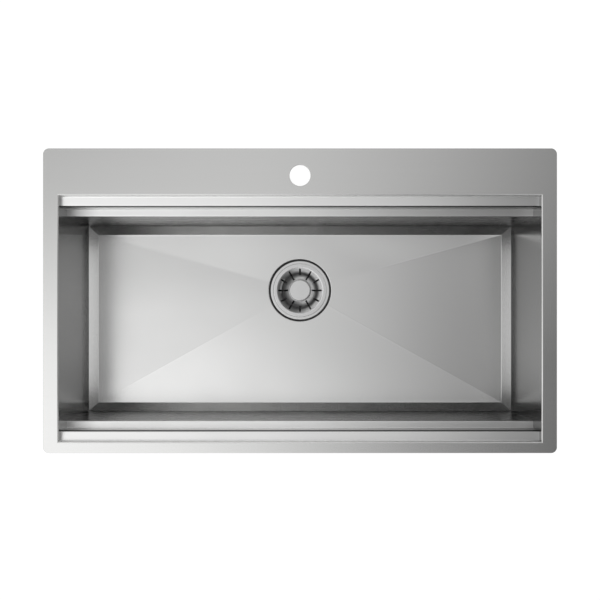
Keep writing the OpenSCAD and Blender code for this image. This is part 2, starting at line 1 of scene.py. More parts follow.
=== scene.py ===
import bmesh
import bpy
import numpy as np
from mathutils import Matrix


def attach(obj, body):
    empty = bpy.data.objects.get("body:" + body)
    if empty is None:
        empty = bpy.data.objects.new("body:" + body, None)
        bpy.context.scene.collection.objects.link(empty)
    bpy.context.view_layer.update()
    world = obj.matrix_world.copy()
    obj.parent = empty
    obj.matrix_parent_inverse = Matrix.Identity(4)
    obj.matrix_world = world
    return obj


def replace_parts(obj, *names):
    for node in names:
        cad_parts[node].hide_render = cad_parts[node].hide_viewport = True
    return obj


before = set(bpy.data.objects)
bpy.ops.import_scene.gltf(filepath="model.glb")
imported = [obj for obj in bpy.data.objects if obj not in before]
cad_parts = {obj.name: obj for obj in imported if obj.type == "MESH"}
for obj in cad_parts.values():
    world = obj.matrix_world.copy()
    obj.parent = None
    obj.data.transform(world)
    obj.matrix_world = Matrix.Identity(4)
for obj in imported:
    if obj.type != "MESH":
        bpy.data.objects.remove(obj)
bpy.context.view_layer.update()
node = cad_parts
studio = bpy.context.scene

# Viewpoint: straight down over the middle of the bowl, 1.384 m above the worktop, with the frame slid
# to the rear so that the whole sink sits in the middle of the picture.
eye = (0, -0.0302, 1.384)
overhead = bpy.data.cameras.new("overhead_camera")
overhead.lens = 49.56
overhead.sensor_width = 36
overhead.shift_y = 0.0313
camera = bpy.data.objects.new("overhead_camera", overhead)
camera.location = eye
studio.collection.objects.link(camera)
studio.camera = camera
studio.view_settings.view_transform = "Standard"

# Studio light: a large soft tent over the sink, bright at the front left, dull on the right, and plain
# white all round near the horizon. Light bounces often enough for the bowl's walls to mirror each other.
studio.cycles.max_bounces = 16
studio.cycles.glossy_bounces = 12
tent = bpy.data.worlds.new("soft_tent")
tent.use_nodes = True
studio.world = tent


def wire(tree, kind, *sources, **settings):
    """Adds a shader node, sets its settings, and joins or sets its inputs in order. None leaves an input
    as it is."""
    made = tree.nodes.new(kind)
    for name, value in settings.items():
        setattr(made, name, value)
    for socket, source in zip(made.inputs, sources):
        if isinstance(source, bpy.types.NodeSocket):
            tree.links.new(source, socket)
        elif source is not None:
            socket.default_value = source
    return made


def ramp(tree, source, stops):
    """Light levels along a 0 to 1 value, halved because a ramp stops at 1: each stop is (place, light),
    and a smooth curve runs through them."""
    made = wire(tree, "ShaderNodeValToRGB", source)
    made.color_ramp.interpolation = "CARDINAL"
    points = made.color_ramp.elements
    while len(points) < len(stops):
        points.new(0.5)
    for point, (place, light) in zip(points, stops):
        point.position = place
        point.color = (light / 2, light / 2, light / 2, 1)
    return made.outputs[0]


def straight(tree, source, start, end, first, last):
    """Goes evenly from first, where the source is start, to last, where it is end, and stays there."""
    return wire(tree, "ShaderNodeMapRange", source, start, end, first, last).outputs[0]


def s_curve(tree, source, start, end, first, last):
    """Goes smoothly from first, where the source is start, to last, where it is end, and stays there."""
    return wire(tree, "ShaderNodeMapRange", source, start, end, first, last,
                interpolation_type="SMOOTHSTEP").outputs[0]


def blended(tree, share, first, last, **settings):
    """The colour that goes from first to last as share goes from 0 to 1."""
    made = wire(tree, "ShaderNodeMix", share, *[None] * 5, first, last, data_type="RGBA", **settings)
    return made.outputs[2]


sky = tent.node_tree
sky.nodes.clear()
toward = wire(sky, "ShaderNodeTexCoord").outputs["Generated"]
split = wire(sky, "ShaderNodeSeparateXYZ", toward)
rightward = straight(sky, split.outputs[0], -1.0, 1.0, 0.0, 1.0)
rearward = straight(sky, split.outputs[1], -1.0, 1.0, 0.0, 1.0)
front_light = ramp(sky, rightward, [(0.0, 1.1), (0.2, 1.5), (0.34, 1.54), (0.43, 1.34), (0.5, 0.95),
                                    (0.56, 0.56), (0.62, 0.30), (0.70, 0.12), (0.8, 0.15), (1.0, 0.8)])
rear_light = ramp(sky, rightward, [(0.0, 1.0), (0.2, 0.8), (0.34, 0.70), (0.46, 0.88), (0.53, 0.79),
                                   (0.6, 0.58), (0.70, 0.26), (0.8, 0.25), (1.0, 0.8)])
from_rear = s_curve(sky, rearward, 0.45, 0.59, 0.0, 1.0)
from_above = blended(sky, from_rear, front_light, rear_light)
raised = s_curve(sky, split.outputs[2], 0.10, 0.40, 0.0, 1.0)
all_round = blended(sky, raised, (0.5, 0.5, 0.5, 1), from_above)
glow = wire(sky, "ShaderNodeBackground", all_round, 2.0)
wire(sky, "ShaderNodeOutputWorld", glow.outputs[0])

# Table 1 mm under the tailpiece's end: plain white, seen white by the camera and by the steel, with the
# sink's faint shadow kept on it. It is not part of the sink, and is clear when looked at from below.
table_reach, table_z = 20, -0.391
table_corners = [(x * table_reach, y * table_reach, table_z) for x, y in ((-1, -1), (1, -1), (1, 1), (-1, 1))]
table_data = bpy.data.meshes.new("white_table")
table_data.from_pydata(table_corners, [], [(0, 1, 2, 3)])
table = bpy.data.objects.new("white_table", table_data)
studio.collection.objects.link(table)


def new_material(name):
    """An empty material and its node tree."""
    made = bpy.data.materials.new(name)
    made.use_nodes = True
    made.node_tree.nodes.clear()
    return made, made.node_tree


def worked(tree, operation, *sources):
    """The result of a sum: one Math node of that operation."""
    return wire(tree, "ShaderNodeMath", *sources, operation=operation).outputs[0]


table_white, table_tree = new_material("table_white")
ray = wire(table_tree, "ShaderNodeLightPath")
seen = worked(table_tree, "MAXIMUM", ray.outputs["Is Camera Ray"], ray.outputs["Is Glossy Ray"])
seen = worked(table_tree, "MAXIMUM", seen, ray.outputs["Is Transmission Ray"])
kept_shadow = wire(table_tree, "ShaderNodeBsdfDiffuse", (0.12, 0.12, 0.12, 1)).outputs[0]
white_glow = wire(table_tree, "ShaderNodeEmission", (1, 1, 1, 1), 0.95).outputs[0]
bright = wire(table_tree, "ShaderNodeAddShader", kept_shadow, white_glow).outputs[0]
paper = wire(table_tree, "ShaderNodeBsdfDiffuse", (0.8, 0.8, 0.8, 1)).outputs[0]
table_top = wire(table_tree, "ShaderNodeMixShader", seen, paper, bright).outputs[0]
clear = wire(table_tree, "ShaderNodeBsdfTransparent").outputs[0]
from_below = wire(table_tree, "ShaderNodeNewGeometry").outputs["Backfacing"]
two_sided = wire(table_tree, "ShaderNodeMixShader", from_below, table_top, clear).outputs[0]
wire(table_tree, "ShaderNodeOutputMaterial", two_sided)
table.data.materials.append(table_white)

# Deck: one sheet of 1.5 mm stainless, its outer edge rounded over and turned down to the worktop,
# its inner edge folded down into the bowl. The flat is brushed from left to right.
deck_w, deck_d, deck_h = 0.860, 0.510, 0.003
corner_r = 0.010
sheet_t = 0.0015
edge_r, lip_r = 0.001, 0.0022
bowl_y = -0.030
bowl_half_w, bowl_half_d = 0.404, 0.206
tap_y, tap_r = 0.2095, 0.0175
along_x, along_y, upward = (1, 0, 0), (0, 1, 0), (0, 0, 1)


def noise(tree, place, scale=1.0, detail=2.0, roughness=0.5):
    """A cloudy value about 0.5. A larger scale makes smaller clouds, and more detail adds finer ones."""
    return wire(tree, "ShaderNodeTexNoise", place, None, scale, detail, roughness,
                noise_dimensions="3D").outputs[0]


def shaded_tint(tree, share, tint, swing):
    """The tint, from swing darker to swing lighter as share goes from 0 to 1."""
    low = [c * (1 - swing) for c in tint]
    high = [min(1.0, c * (1 + swing)) for c in tint]
    return blended(tree, share, (*low, 1), (*high, 1))


def place_along(tree, place, direction):
    """How far each point lies along a direction: the dot product of the two."""
    return wire(tree, "ShaderNodeVectorMath", place, direction, operation="DOT_PRODUCT").outputs["Value"]


def gap_from(tree, source, middle):
    """How far a value is from middle, |value - middle|."""
    return worked(tree, "ABSOLUTE", worked(tree, "SUBTRACT", source, middle))


def surface(tree, colour, rough, relief, strength, depth):
    """The surface shader of this colour and roughness, tilted by the share strength as a relief that is
    depth metres deep would tilt it."""
    tilt = wire(tree, "ShaderNodeBump")
    tilt.inputs["Strength"].default_value = strength
    tilt.inputs["Distance"].default_value = depth
    tree.links.new(relief, tilt.inputs["Height"])
    face = wire(tree, "ShaderNodeBsdfPrincipled")
    tree.links.new(colour, face.inputs["Base Color"])
    tree.links.new(rough, face.inputs["Roughness"])
    tree.links.new(tilt.outputs[0], face.inputs["Normal"])
    wire(tree, "ShaderNodeOutputMaterial", face.outputs[0])
    return face


def brushed_steel(name, tint, roughness, grain, streak=0.012, dent=0.00004, edge=0.72, painted_fades=()):
    """Stainless steel with brush strokes. Two noises on Object coordinates run long where grain is small:
    the coarse one shades the tint by the share streak, and the fine one varies the roughness and tilts
    the surface, dent metres deep. A third, even noise smudges the roughness. edge is the share of its
    mirror strength that the steel keeps where it is seen along the surface. Each fade (direction, middle,
    start, end, share) is painted light or shade: it takes the steel's colour smoothly to that share of its
    tint, from start to end of the place along a direction, or of the distance from middle along it where
    middle is given."""
    coarse_share, smudge_scale = 0.16, 9.0
    steel, tree = new_material(name)
    place = wire(tree, "ShaderNodeTexCoord").outputs["Object"]
    fine_place = wire(tree, "ShaderNodeMapping", place, None, None, grain).outputs[0]
    fine = noise(tree, fine_place, detail=3.0, roughness=0.6)
    coarse_grain = [g * coarse_share for g in grain]
    coarse_place = wire(tree, "ShaderNodeMapping", place, None, None, coarse_grain).outputs[0]
    coarse = noise(tree, coarse_place)
    smudge = noise(tree, place, smudge_scale)
    colour = shaded_tint(tree, coarse, tint, streak)
    # Painted light and shade: each fade darkens or lightens the colour by place.
    for direction, middle, start, end, share in painted_fades:
        spot = place_along(tree, place, direction)
        if middle is not None:
            spot = gap_from(tree, spot, middle)
        kept = s_curve(tree, spot, start, end, 1.0, share)
        colour = wire(tree, "ShaderNodeVectorMath", colour, None, None, kept, operation="SCALE").outputs[0]
    swing = min(0.12, 6 * streak)
    rough = straight(tree, fine, 0.3, 0.7, roughness * (1 - swing), roughness * (1 + swing))
    rough = worked(tree, "MULTIPLY", rough, straight(tree, smudge, 0.35, 0.7, 0.96, 1.06))
    face = surface(tree, colour, rough, fine, 0.12, dent)
    face.inputs["Metallic"].default_value = 1.0
    face.inputs["Specular Tint"].default_value = (edge, edge, edge, 1)
    return steel


def sharpen(mesh, crease=30):
    """Edges that turn by more than crease degrees are shaded sharp, and so are open edges."""
    mesh.set_sharp_from_angle(angle=np.radians(crease))
    edge_of_corner = np.empty(len(mesh.loops), np.int32)
    mesh.loops.foreach_get("edge_index", edge_of_corner)
    sharp = np.empty(len(mesh.edges), bool)
    mesh.edges.foreach_get("use_edge_sharp", sharp)
    open_edge = np.bincount(edge_of_corner, minlength=len(mesh.edges)) == 1
    mesh.edges.foreach_set("use_edge_sharp", sharp | open_edge)


def weld_grids(name, grids, materials, closed=()):
    """One mesh from grids of points [row, column, xyz]. Each cell is a quad, doubles on the seams are
    welded, a closed shell's faces are turned out, and sharp edges are marked. closed lists the grids
    whose last row joins their first."""
    weld_gap, least_edge = 2e-6, 1e-7
    points, quads, start = [], [], 0
    for number, grid in enumerate(grids):
        rows, columns = grid.shape[:2]
        index = start + np.arange(rows * columns).reshape(rows, columns)
        if number in closed:
            index = np.vstack([index, index[:1]])
        cells = np.stack([index[:-1, :-1], index[:-1, 1:], index[1:, 1:], index[1:, :-1]], axis=-1)
        points.append(grid.reshape(-1, 3))
        quads.append(cells.reshape(-1, 4))
        start += rows * columns
    mesh = bpy.data.meshes.new(name)
    mesh.from_pydata(np.concatenate(points).tolist(), [], np.concatenate(quads).tolist())
    work = bmesh.new()
    work.from_mesh(mesh)
    bmesh.ops.remove_doubles(work, verts=work.verts, dist=weld_gap)
    bmesh.ops.dissolve_degenerate(work, edges=work.edges, dist=least_edge)
    if not any(e.is_boundary for e in work.edges):
        bmesh.ops.recalc_face_normals(work, faces=work.faces)
    work.to_mesh(mesh)
    work.free()
    mesh.polygons.foreach_set("use_smooth", np.ones(len(mesh.polygons), bool))
    sharpen(mesh)
    piece = bpy.data.objects.new(name, mesh)
    studio.collection.objects.link(piece)
    for material in materials:
        mesh.materials.append(material)
    return piece


def faces_of(mesh):
    """The centre and the normal of each face, as two arrays of rows xyz."""
    centres = np.empty(3 * len(mesh.polygons))
    normals = np.empty(3 * len(mesh.polygons))
    mesh.polygons.foreach_get("center", centres)
    mesh.polygons.foreach_get("normal", normals)
    return centres.reshape(-1, 3), normals.reshape(-1, 3)


# Rows this far beside an arc keep the flats flat. The tap hole sits in a square window of cells.
edge_hold, rim_hold = 0.0006, 0.0004
window_half, window_points, window_first = 0.0225, 17, 2
window_cells = window_points - 1


def outline_points(inset):
    """The deck's outline, set in by inset: a rounded rectangle, as columns that run clockwise round it from
    the left of its rear side. Columns along a side keep their place at any inset, so that they line up."""
    r = corner_r - inset
    x, y = deck_w / 2 - corner_r, deck_d / 2 - corner_r
    corners = []
    for turn, (cx, cy) in zip((90, 0, -90, -180), ((x, y), (x, -y), (-x, -y), (-x, y))):
        angle = np.radians(turn - np.linspace(0, 90, 13)[:, None])
        corners.append(np.hstack([cx + r * np.cos(angle), cy + r * np.sin(angle)]))
    window_x = np.linspace(-window_half, window_half, window_points)
    rear_x = np.concatenate([[-0.20, -0.10], window_x, [0.10, 0.20]])[:, None]
    side_y = np.array([[-0.13], [-0.03], [0.07]])
    rear = np.hstack([rear_x, np.full_like(rear_x, deck_d / 2 - inset)])
    front = np.hstack([-rear_x, np.full_like(rear_x, inset - deck_d / 2)])
    right = np.hstack([np.full_like(side_y, deck_w / 2 - inset), side_y[::-1]])
    left = np.hstack([np.full_like(side_y, inset - deck_w / 2), side_y])
    sides = [rear, corners[0], right, corners[1], front, corners[2], left, corners[3], rear[:1]]
    return np.concatenate(sides)


def opening_points(outset):
    """The bowl opening, set out by outset, at the same columns: a rectangle with mitred corners. Each
    point is the outline's, clipped to the rectangle."""
    x, y = bowl_half_w + outset, bowl_half_d + outset
    return np.clip(outline_points(0), (-x, bowl_y - y), (x, bowl_y + y))


def level(points, z):
    """A row of plan points at one height, or each at its own."""
    return np.column_stack([points, np.broadcast_to(z, len(points))])


def flat_rows(z, outer_inset, inner_outset):
    """Rows across the flat of the deck, in straight steps from its outline to the opening. In the rear strip
    they run through the window for the tap hole."""
    y_out, y_in = deck_d / 2 - outer_inset, bowl_y + bowl_half_d + inner_outset
    share = (y_out - np.linspace(tap_y + window_half, tap_y - window_half, window_points)) / (y_out - y_in)
    outer, inner = outline_points(outer_inset), opening_points(inner_outset)
    return [level(outer + (inner - outer) * s, z) for s in share]


quarter = np.linspace(0, np.pi / 2, 9)
inner_r = lip_r - sheet_t
under_z = deck_h - sheet_t
rim_rows = [level(outline_points(0), 0.0), level(outline_points(0), deck_h - edge_r - rim_hold)]
rim_rows += [level(outline_points(edge_r * (1 - np.cos(a))), deck_h - edge_r * (1 - np.sin(a)))
             for a in quarter]
rim_rows += [level(outline_points(edge_r + edge_hold), deck_h)]
fold_rows = [level(opening_points(lip_r + edge_hold), deck_h)]
fold_rows += [level(opening_points(lip_r * (1 - np.sin(a))), deck_h - lip_r * (1 - np.cos(a)))
              for a in quarter]
fold_rows += [level(opening_points(lip_r - inner_r * np.cos(a)), deck_h - lip_r + inner_r * np.sin(a))
              for a in quarter]
fold_rows += [level(opening_points(lip_r + edge_hold), under_z)]
back_rows = [level(outline_points(sheet_t + edge_hold), under_z), level(outline_points(sheet_t), under_z),
             level(outline_points(sheet_t), 0.0), level(outline_points(0), 0.0)]
top_rows = flat_rows(deck_h, edge_r + edge_hold, lip_r + edge_hold)
under_rows = flat_rows(under_z, sheet_t + edge_hold, lip_r + edge_hold)[::-1]
deck_rows = np.stack([*rim_rows, *top_rows, *fold_rows, *under_rows, *back_rows])
top_window = len(rim_rows)
under_window = top_window + window_points + len(fold_rows)


def cut_window(grid, row):
    """Cuts the tap hole's window out of a grid at a row. Returns the rows down to it, the rows from its
    end, and the cells left and right of it."""
    last_row, last_column = row + window_cells, window_first + window_cells
    beside = grid[row:last_row + 1]
    return grid[:row + 1], grid[last_row:], beside[:, :window_first + 1], beside[:, last_column:]


rim_grid, lower_grid, left_of_hole, right_of_hole = cut_window(deck_rows, top_window)
window_in_lower = under_window - top_window - window_cells
fold_grid, back_grid, left_under, right_under = cut_window(lower_grid, window_in_lower)
window = deck_rows[top_window:top_window + window_points, window_first:window_first + window_points]
window_edge = np.concatenate([window[0, :-1], window[:-1, -1], window[-1, :0:-1], window[:0:-1, 0],
                              window[:1, 0]])
toward_hole = np.arctan2(window_edge[:, 1] - tap_y, window_edge[:, 0])
hole_circle = np.column_stack([np.cos(toward_hole), np.sin(toward_hole)])
hole_edge_r, hole_hold = 0.0004, 0.0005
hole_profile = [(tap_r + hole_edge_r + hole_hold, deck_h)]
hole_profile += [(tap_r + hole_edge_r * (1 - np.sin(a)), deck_h - hole_edge_r * (1 - np.cos(a)))
                 for a in np.linspace(0, np.pi / 2, 6)]
hole_profile += [(tap_r, under_z)]
hole_rows = [level(hole_circle * radius + (0, tap_y), z) for radius, z in hole_profile]
hole_grid = np.stack([window_edge, *hole_rows, level(window_edge[:, :2], under_z)])

deck_steel = brushed_steel("deck_brushed", (0.600, 0.600, 0.594), 0.20, (5, 900, 900))
# Painted highlight on the fold: a lighter tint than the deck's, darker toward the right.
fold_steel = brushed_steel("fold_painted_highlight", (0.900, 0.900, 0.892), 0.42, (5, 900, 900), edge=1.0,
                           painted_fades=[(along_x, None, -0.05, 0.33, 0.70)])
deck = weld_grids("deck_sheet", [rim_grid, left_of_hole, right_of_hole, fold_grid, left_under, right_under,
                                 back_grid, hole_grid], [deck_steel, fold_steel])
# The fold has a painted highlight, a lighter copy of the steel, from where its face has turned this far: late
# at the rear, and early at the front.
rear_turn, front_turn = 0.75, 0.1
face_centres, face_normals = faces_of(deck.data)
on_fold = np.abs(np.abs(face_centres[:, 1] - bowl_y) - bowl_half_d) < lip_r
on_fold &= np.abs(face_centres[:, 0]) < bowl_half_w
on_fold &= np.abs(face_normals[:, 1]) > np.where(face_centres[:, 1] > 0, rear_turn, front_turn)
deck.data.polygons.foreach_set("material_index", on_fold.astype(np.int32))
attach(deck, "sink")
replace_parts(deck, "deck_plate")

# Long walls: a strip of the same sheet for the rear and one for the front, folded on a brake into
# an upper ledge, a riser, a lower ledge and the wall. The ledges fall a little toward the bowl. Light
# and shade are painted on the strip: the ledges are lighter copies of the steel, the riser's top a dark
# one, and fades make each darker or lighter by place.
upper_ledge_z, lower_ledge_z = -0.009, -0.047
ledge_fall = 0.001
riser_shade_z = -0.026
foot_z = -0.197
half_upper, half_wall = 0.1898, 0.1765
bend_r = 0.001


def rounded(path, radii, steps=8, hold=0.0005):
    """A path of corners with an arc in each: the arc starts r*tan(turn/2) before the corner, and its points
    are centre - r*cos(a)*n + r*sin(a)*u. A point hold before and after each arc keeps the flats flat."""
    path = np.asarray(path, float)
    points = [path[:1]]
    for i, r in enumerate(radii, 1):
        u = (path[i] - path[i - 1]) / np.linalg.norm(path[i] - path[i - 1])
        v = (path[i + 1] - path[i]) / np.linalg.norm(path[i + 1] - path[i])
        turn = np.arccos(np.clip(u @ v, -1, 1))
        if r <= 0 or turn < 1e-3:
            points.append(path[i:i + 1])
            continue
        n = (v - u * (u @ v)) / np.sin(turn)
        back = r * np.tan(turn / 2)
        centre = path[i] - u * back + n * r
        a = np.linspace(0, turn, steps + 1)[:, None]
        arc = centre - r * np.cos(a) * n + r * np.sin(a) * u
        points.append(np.vstack([arc[:1] - u * hold, arc, arc[-1:] + v * hold]))
    points.append(path[-1:])
    return np.vstack(points)


# The corner at this height has no bend: above it, the riser's top is painted dark as shade.
wall_path = [(bowl_half_d, deck_h - lip_r), (bowl_half_d, upper_ledge_z),
             (half_upper, upper_ledge_z - ledge_fall), (half_upper, riser_shade_z),
             (half_upper, lower_ledge_z), (half_wall, lower_ledge_z - ledge_fall), (half_wall, foot_z)]
far_path = [(out + sheet_t, z - sheet_t) for out, z in wall_path]
far_path[0], far_path[-1] = (bowl_half_d + sheet_t, deck_h - lip_r), (half_wall + sheet_t, foot_z)
near_face = rounded(wall_path, [0.0020, 0.0016, 0, 0.0022, bend_r + sheet_t])
far_face = rounded(far_path, [0.0035, 0.0005, 0, 0.0037, bend_r])
wall_section = np.vstack([near_face, far_face[::-1]])

# Painted shade on the wall: darker toward the right, toward the left end and toward the foot.
wall_steel = brushed_steel("wall_brushed", (0.680, 0.680, 0.676), 0.27, (5, 900, 900), edge=0.55,
                           painted_fades=[(along_x, None, -0.22, 0.34, 0.50), (along_x, None, -0.31, -0.40, 0.55),
                                  (upward, None, -0.165, -0.196, 0.80)])
# Painted shade: the riser's top is a dark copy of the steel, darker still toward the right.
riser_steel = brushed_steel("riser_painted_shade", (0.180, 0.180, 0.179), 0.25, (5, 900, 900), edge=0.36,
                            painted_fades=[(along_x, None, 0.0, 0.34, 0.6)])
# Painted light on the ledges: lighter tints than the deck's, darker toward the right, the lower ledge also
# darker at its left end and lighter at the front.
upper_steel = brushed_steel("upper_ledge_painted_light", (0.800, 0.800, 0.795), 0.34, (5, 700, 700), edge=1.0,
                            painted_fades=[(along_x, None, 0.15, 0.45, 0.68)])
lower_steel = brushed_steel("lower_ledge_painted_light", (0.800, 0.800, 0.795), 0.38, (5, 700, 700), edge=1.0,
                            painted_fades=[(along_x, None, -0.10, 0.40, 0.58), (along_x, None, -0.345, -0.385, 0.75),
                                   (along_y, None, 0.0, -0.1, 1.14)])
strip_steels = [wall_steel, riser_steel, upper_steel, lower_steel, fold_steel]
# Where each finish of the strip ends, as a distance out from the bowl's middle and as a height.
fold_out, fold_z = bowl_half_d - 0.0015, upper_ledge_z + 0.0005
upper_out, upper_z = half_upper + 0.0002, upper_ledge_z - 0.0008
riser_reach, riser_top_z = 0.001, upper_ledge_z - 0.0012
lower_out, lower_z = half_upper + 0.0001, lower_ledge_z - 0.0012
bend_facing_up = 0.3


def folded_strip(name, side):
    """The section carried straight along X between the end walls, at (x, bowl_y + side*out, z), with both
    ends closed. Its faces get their finish by where they lie, the first rule that fits."""
    columns = np.linspace(-bowl_half_w, bowl_half_w, 9)
    grid = np.empty((len(wall_section), len(columns), 3))
    grid[..., 0] = columns * side
    grid[..., 1] = bowl_y + side * wall_section[:, :1]
    grid[..., 2] = wall_section[:, 1:]
    piece = weld_grids(name, [grid], strip_steels, closed=[0])
    work = bmesh.new()
    work.from_mesh(piece.data)
    bmesh.ops.holes_fill(work, edges=[e for e in work.edges if e.is_boundary], sides=0)
    bmesh.ops.recalc_face_normals(work, faces=work.faces)
    work.to_mesh(piece.data)
    work.free()
    centres, normals = faces_of(piece.data)
    out, z = side * (centres[:, 1] - bowl_y), centres[:, 2]
    rules = [(fold_steel, (out > fold_out) & (z > fold_z)),
             (upper_steel, (out > upper_out) & (z > upper_z)),
             (riser_steel, (z > riser_shade_z) & (z < riser_top_z) & (np.abs(out - half_upper) < riser_reach)),
             (lower_steel, (z > lower_z) & (z < riser_shade_z) & (out < lower_out)),
             (upper_steel, (z > riser_top_z) & (normals[:, 2] > bend_facing_up))]
    finish = np.select([fits for _, fits in rules], [strip_steels.index(steel) for steel, _ in rules], 0)
    piece.data.polygons.foreach_set("material_index", finish.astype(np.int32))
    sharpen(piece.data)
    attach(piece, "sink")
    return piece


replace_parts(folded_strip("rear_ledge_wall", 1), "rear_wall")
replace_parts(folded_strip("front_ledge_wall", -1), "front_wall")

# End walls: plain flat sheets, laser cut to the stepped outline of the long walls and welded between
# them with sharp upright corners. They are brushed from front to rear. Light and shade are painted on
# them: the left wall is a lighter copy of the steel, darker toward its ends and its foot, and the right
# wall a darker copy, darker still toward the front.
left_steel = brushed_steel("left_wall_painted_shading", (0.880, 0.880, 0.876), 0.20, (900, 5, 900), edge=1.0,
                           painted_fades=[(along_y, bowl_y, 0.05, 0.17, 0.70), (upward, None, -0.135, -0.182, 0.30)])
right_steel = brushed_steel("right_wall_painted_shade", (0.400, 0.400, 0.398), 0.20, (900, 5, 900),
                            painted_fades=[(along_y, None, -0.08, -0.19, 0.72)])
node["left_end_wall"].data.materials[0] = left_steel
node["right_end_wall"].data.materials[0] = right_steel

# Floor pan: pressed from one sheet, with a slanted foot mitred at the corners, four shallow facets
# creased from the corners to the drain, and a round recess for the strainer.
foot = 0.015
floor_z, drain_z, recess_z = -0.212, -0.218, -0.222
drain_y = 0.025
recess_r, drain_hole_r = 0.060, 0.045
recess_edge_r, recess_foot_r, recess_hold = 0.0012, 0.001, 0.0006
foot_bend_r, floor_start = 0.0016, 0.003
foot_half_w, foot_half_d = bowl_half_w - foot, half_wall - foot
crease_w, crease_at_side = 0.02, 0.2


def way_to_sides(x, y):
    """How far points have come from the drain toward the left, right, rear and front side, each as a share
    of the whole way: 1 on that side, and below 0 behind the drain."""
    rear_y, front_y = bowl_y + foot_half_d, bowl_y - foot_half_d
    return np.stack([-x / foot_half_w, x / foot_half_w,
                     (y - drain_y) / (rear_y - drain_y), (drain_y - y) / (drain_y - front_y)])


def floor_height(x, y):
    """Height of the creased floor: the greatest of four slopes that rise from the drain to the sides, with
    a short parabola w/4*(1 - |a - b|/w)^2 that rounds each crease between an end slope a and a long side's
    slope b, full near the drain and down to crease_at_side of itself at the sides."""
    left, right, rear, front = way_to_sides(x, y)
    a, b = np.maximum(left, right), np.maximum(rear, front)
    soft = crease_w / 4 * np.maximum(0, 1 - np.abs(a - b) / crease_w) ** 2
    highest = np.maximum(a, b)
    return drain_z + (floor_z - drain_z) * (highest + soft * np.minimum(1, 1 + crease_at_side - highest))


def tray_edge(inset):
    """The rectangle inside the walls, set in by inset, as columns that crowd towards its corners."""
    crowd, next_column = np.array([0, 0.0007, 0.0015, 0.003, 0.005, 0.008, 0.013, 0.021, 0.034]), 0.045
    x, y = bowl_half_w - inset, half_wall - inset
    shares = []
    for half, count in ((foot_half_w, 61), (foot_half_d, 25)):
        even = np.linspace(next_column - half, half - next_column, count)
        shares.append(np.concatenate([crowd - half, even, half - crowd[::-1]]) / half)
    rear = np.column_stack([shares[0] * x, np.full(len(shares[0]), y)])
    right = np.column_stack([np.full(len(shares[1]), x), -shares[1] * y])
    return np.concatenate([rear, right, -rear, -right]) + (0, bowl_y)


rim_section = rounded([(foot + floor_start, floor_z), (foot, floor_z), (0, foot_z)], [foot_bend_r],
                      steps=6, hold=0.0004)[1:]
from_drain = tray_edge(rim_section[0, 0]) - (0, drain_y)
edge_distance = np.linalg.norm(from_drain, axis=1, keepdims=True)
toward_edge = from_drain / edge_distance


def ring_row(radius, z):
    """A row round the drain at one radius, or each point at its own, with a point toward each column."""
    return level(toward_edge * radius + (0, drain_y), z)


edge_ring_r = recess_r + recess_edge_r
edge_ring = ring_row(edge_ring_r, 0.0)
edge_ring_z = floor_height(edge_ring[:, 0], edge_ring[:, 1])
pan_rows = [ring_row(drain_hole_r, recess_z), ring_row(recess_r - recess_foot_r - recess_hold, recess_z)]
pan_rows += [ring_row(recess_r - recess_foot_r * (1 - np.sin(a)), recess_z + recess_foot_r * (1 - np.cos(a)))
             for a in np.linspace(0, np.pi / 2, 6)]
pan_rows += [ring_row(recess_r + recess_edge_r * (1 - np.sin(a)),
                      edge_ring_z - recess_edge_r * (1 - np.cos(a)))
             for a in np.linspace(np.pi / 2, 0, 7)]
for way in np.concatenate([[0.004], np.linspace(0.02, 1, 30)]):
    plan = ring_row(edge_ring_r + (edge_distance - edge_ring_r) * way, 0.0)[:, :2]
    pan_rows.append(level(plan, floor_height(plan[:, 0], plan[:, 1])))
pan_rows += [level(tray_edge(inset), z) for inset, z in rim_section[1:]]

# Painted light and shade: each facet is a lighter or darker copy of the steel, with fades by place, and the
# slanted foot and its ends are lighter copies.
facets = {"left": (0.655, [(along_y, None, -0.02, 0.07, 0.92), (along_y, None, -0.13, -0.19, 1.10)]),
          "right": (0.585, [(along_x, None, 0.10, 0.28, 0.90), (along_x, None, 0.33, 0.40, 0.85)]),
          "rear": (0.600, [(along_x, None, -0.10, -0.29, 0.91), ((0.5, 1, 0), None, 0.12, 0.20, 1.14)]),
          "front": (0.645, [((-0.4, -1, 0), None, 0.0, 0.22, 1.16)])}
facet_steels = [brushed_steel(side + "_facet_painted_shading", (tint, tint, tint - 0.004), 0.25, (5, 900, 900),
                              streak=0.006, dent=0.000012, painted_fades=painted_fades)
                for side, (tint, painted_fades) in facets.items()]
foot_steel = brushed_steel("foot_painted_light", (0.880, 0.880, 0.875), 0.20, (5, 900, 900),
                           painted_fades=[(along_x, None, -0.28, 0.36, 0.74), (along_x, None, -0.30, -0.385, 0.60)])
foot_end_steel = brushed_steel("foot_end_painted_light", (0.920, 0.920, 0.915), 0.20, (900, 5, 900),
                               painted_fades=[(along_x, None, -0.28, 0.36, 0.57),
                                      (along_y, bowl_y, 0.125, 0.165, 0.58)])
pan = weld_grids("creased_floor", [np.stack(pan_rows)], [*facet_steels, foot_steel, foot_end_steel])
face_centres, face_normals = faces_of(pan.data)
foot_tilt, foot_low_z = 0.93, floor_z - 0.0005
on_foot = (np.abs(face_normals[:, 2]) < foot_tilt) & (face_centres[:, 2] > foot_low_z)
at_end = np.abs(face_normals[:, 0]) > np.abs(face_normals[:, 1])
facet = np.argmax(way_to_sides(face_centres[:, 0], face_centres[:, 1]), axis=0)
finish = np.where(on_foot, len(facet_steels) + at_end, facet)
pan.data.polygons.foreach_set("material_index", finish.astype(np.int32))
thick = pan.modifiers.new("sheet", "SOLIDIFY")
thick.thickness = sheet_t
thick.offset = -1
thick.use_even_offset = True
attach(pan, "sink")
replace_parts(pan, "floor_pan")

